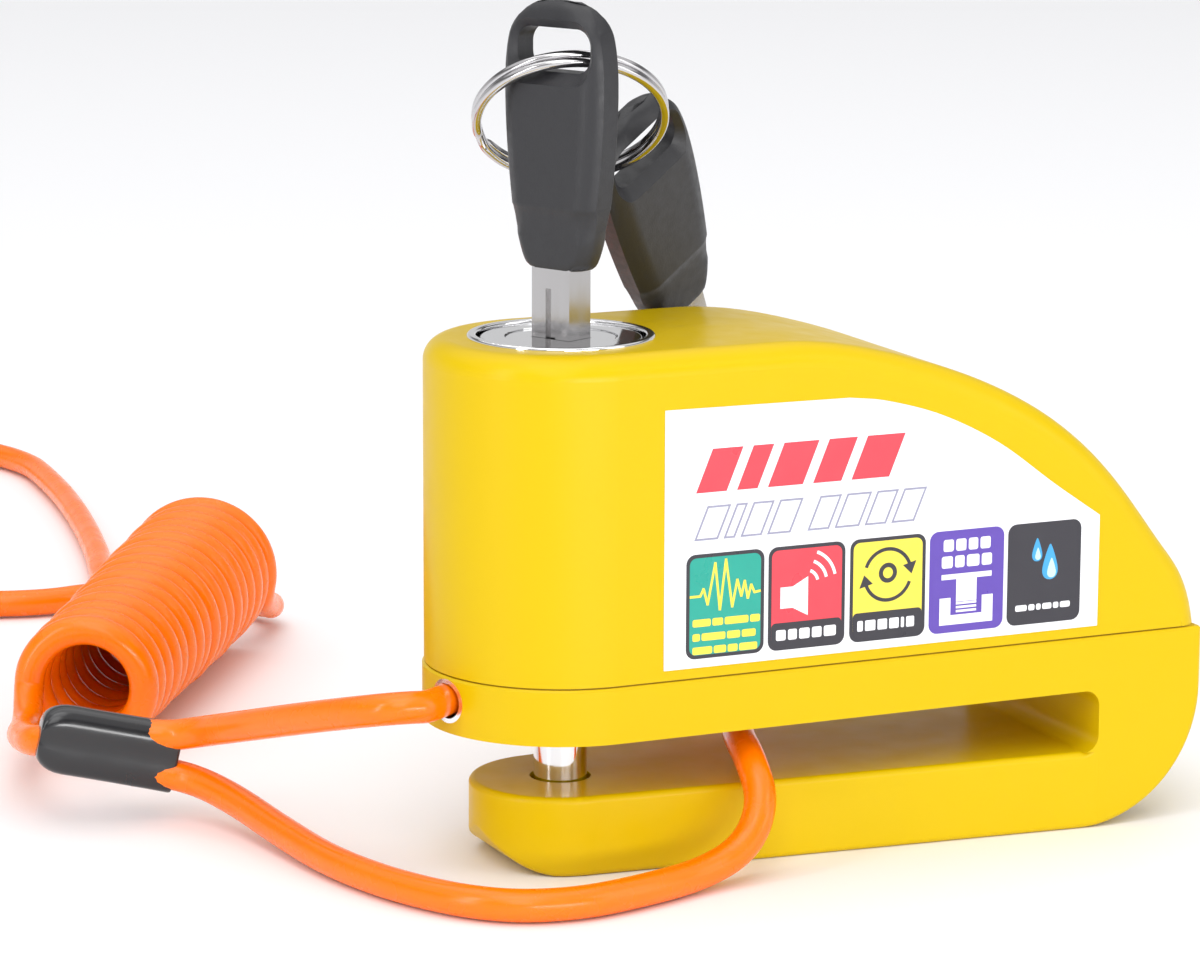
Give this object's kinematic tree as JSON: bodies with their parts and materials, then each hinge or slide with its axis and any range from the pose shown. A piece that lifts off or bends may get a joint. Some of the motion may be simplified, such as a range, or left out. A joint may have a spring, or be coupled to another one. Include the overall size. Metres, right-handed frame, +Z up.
{
  "type": "disc brake lock",
  "caption": "Push-down disc brake lock with rounded alarm body, C-shaped jaw, chrome lock pin, keys on a split ring and a coiled reminder cable.",
  "frame": {"origin": "on the ground, under the lock pin's axis", "axes": "+X from the pin towards the closed end of the disc slot, +Z up along the pin, -Y is the labelled face"},
  "size_m": [0.1432, 0.2918, 0.0957],
  "materials": {
    "yellow_paint": "satin gloss powder coat",
    "chrome": "polished",
    "steel": "plain",
    "brass": "plain",
    "black_rubber": "matt",
    "seal_yellow": "thin moulded seal, coloured to match the paint",
    "label_white": "printed film",
    "board_green": "solder mask",
    "black_part": "moulded",
    "key_plastic": "fine moulded texture",
    "orange_cable": "soft vinyl sheath over steel rope",
    "sleeve_black": "shrink sleeve"
  },
  "bodies": {
    "lock_body": {"base_body": "yellow_paint", "upper_shell": "yellow_paint", "shell_gasket": "seal_yellow", "cylinder_bezel": "chrome", "guide_sleeve": "steel", "cable_eyelets": "steel", "front_label": "label_white", "battery_door": "yellow_paint", "door_gasket": "black_rubber", "door_screws": "steel", "shell_screws": "steel", "circuit_board": "board_green", "siren": "black_part", "battery_holder": "black_part", "button_cells": "steel", "battery_contacts": "steel", "shock_sensor": "steel", "arming_switch": "black_part", "arm_bush": "steel", "jaw_bush": "steel", "near_loop_cable": "orange_cable", "near_lead_cable": "orange_cable", "coil_cable": "orange_cable", "far_lead_cable": "orange_cable", "far_loop_cable": "orange_cable", "near_crimp_sleeve": "sleeve_black", "far_crimp_sleeve": "sleeve_black"},
    "plunger": {"cylinder_barrel": "chrome", "lock_pin": "chrome", "cross_pin": "steel", "barrel_oring": "black_rubber", "return_spring": "steel"},
    "plug": {"plug_core": "chrome", "plug_wafers": "brass", "tail_cam": "steel"},
    "latch": {"latch_bolt": "steel"},
    "key_1": {"key_1_head": "key_plastic", "key_1_blade": "chrome"},
    "key_ring": {"split_ring": "chrome"},
    "key_2": {"key_2_head": "key_plastic", "key_2_blade": "chrome"}
  },
  "joints": [
    {"name": "plunger_slide", "type": "slide", "parent": "lock_body", "child": "plunger", "axis": [0, 0, 1], "range_m": [0, 0.011], "deforming": ["return_spring"]},
    {"name": "key_turn", "type": "hinge", "parent": "plunger", "child": "plug", "pos_m": [0, 0, 0.05], "axis": [0, 0, 1], "range_deg": [0, 90]},
    {"name": "latch_slide", "type": "slide", "parent": "plunger", "child": "latch", "axis": [1, 0, 0], "range_m": [-0.0017, 0]},
    {"name": "key_withdraw", "type": "slide", "parent": "plug", "child": "key_1", "axis": [0, 0, 1], "range_m": [0, 0.026]},
    {"name": "ring_swing", "type": "hinge", "parent": "key_1", "child": "key_ring", "pos_m": [0.00034, -0.00148, 0.0896], "axis": [-0.9263, 0.3741, -0.045], "range_deg": [-18, 0]},
    {"name": "key_2_swing", "type": "hinge", "parent": "key_ring", "child": "key_2", "pos_m": [0.01139, 0.00895, 0.07676], "axis": [0.6054, -0.6769, 0.4187], "range_deg": [0, 18]}
  ],
  "couplings": [
    {"joint": "latch_slide", "follows": "key_turn", "m_per_rad": -0.0010186}
  ]
}
